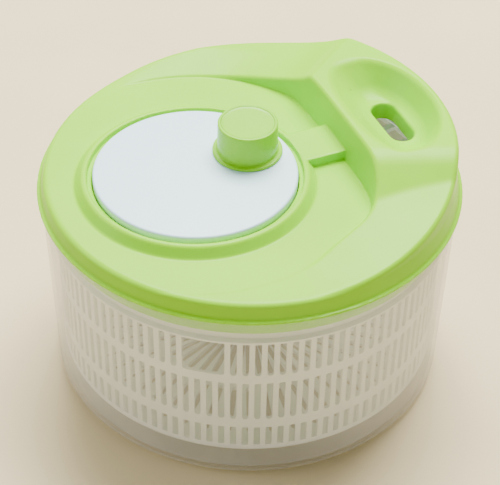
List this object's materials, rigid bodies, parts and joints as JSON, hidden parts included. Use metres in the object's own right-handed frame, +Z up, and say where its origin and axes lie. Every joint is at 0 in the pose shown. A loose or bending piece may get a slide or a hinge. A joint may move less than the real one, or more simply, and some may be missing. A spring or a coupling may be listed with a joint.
{
  "type": "salad spinner",
  "caption": "Hand-cranked salad spinner: clear outer bowl, slotted basket on a centre pin, and a geared lid with crank disc, knob, side grip and drain opening.",
  "frame": {"origin": "middle of the bowl's foot, on the plane it stands on", "axes": "+Z up along the bowl's axis, +X towards the middle of the carrying handle, crank disc on the -X side"},
  "size_m": [0.245, 0.245, 0.162],
  "materials": {
    "bowl_clear": "clear moulded plastic with a light frosting",
    "basket_white": "milky translucent polypropylene, satin",
    "lid_green": "light green moulded plastic, semi-gloss",
    "knob_green": "light green moulded plastic, semi-gloss",
    "crank_white": "white moulded plastic, fine satin",
    "inner_white": "white moulded plastic, satin",
    "acetal": "natural acetal, satin",
    "steel": "bright stainless steel"
  },
  "bodies": {
    "bowl": {"outer_bowl": "bowl_clear", "pivot_pin": "steel"},
    "pivot": {"pivot_cup": "acetal"},
    "basket": {"basket": "basket_white"},
    "lid": {"lid_shell": "lid_green", "crank_bush": "acetal", "shaft_bush": "acetal", "bearing_plate": "inner_white", "bearing_plate_screw_1": "steel", "bearing_plate_screw_2": "steel", "bearing_plate_screw_3": "steel", "thrust_washer": "steel"},
    "crank": {"crank_disc": "crank_white", "ring_gear": "acetal", "ring_gear_screw_1": "steel", "ring_gear_screw_2": "steel", "ring_gear_screw_3": "steel", "crank_washer": "steel", "crank_screw": "steel", "knob_washer": "steel", "knob_screw": "steel"},
    "knob": {"knob_body": "knob_green", "knob_cap": "knob_green"},
    "drive": {"drive_pinion": "acetal", "driver_disc": "inner_white", "driver_washer": "steel", "driver_screw": "steel"}
  },
  "joints": [
    {"name": "lid_lift", "type": "slide", "parent": "bowl", "child": "lid", "axis": [0, 0, 1], "range_m": [0, 0.26]},
    {"name": "crank_spin", "type": "hinge", "parent": "lid", "child": "crank", "pos_m": [-0.03375, 0, 0.1415], "axis": [0, 0, 1], "continuous": true},
    {"name": "knob_spin", "type": "hinge", "parent": "crank", "child": "knob", "pos_m": [0.00092, 0.00611, 0.15], "axis": [0, 0, 1], "continuous": true},
    {"name": "drive_spin", "type": "hinge", "parent": "lid", "child": "drive", "pos_m": [0, 0, 0.12], "axis": [0, 0, 1], "continuous": true},
    {"name": "basket_lift", "type": "slide", "parent": "bowl", "child": "pivot", "axis": [0, 0, 1], "range_m": [0, 0.13]},
    {"name": "basket_spin", "type": "hinge", "parent": "pivot", "child": "basket", "pos_m": [0, 0, 0.0175], "axis": [0, 0, 1], "continuous": true}
  ],
  "couplings": [
    {"joint": "drive_spin", "follows": "crank_spin", "ratio": 4},
    {"joint": "basket_spin", "follows": "crank_spin", "ratio": 4},
    {"joint": "basket_lift", "follows": "lid_lift", "ratio": 0.5}
  ]
}
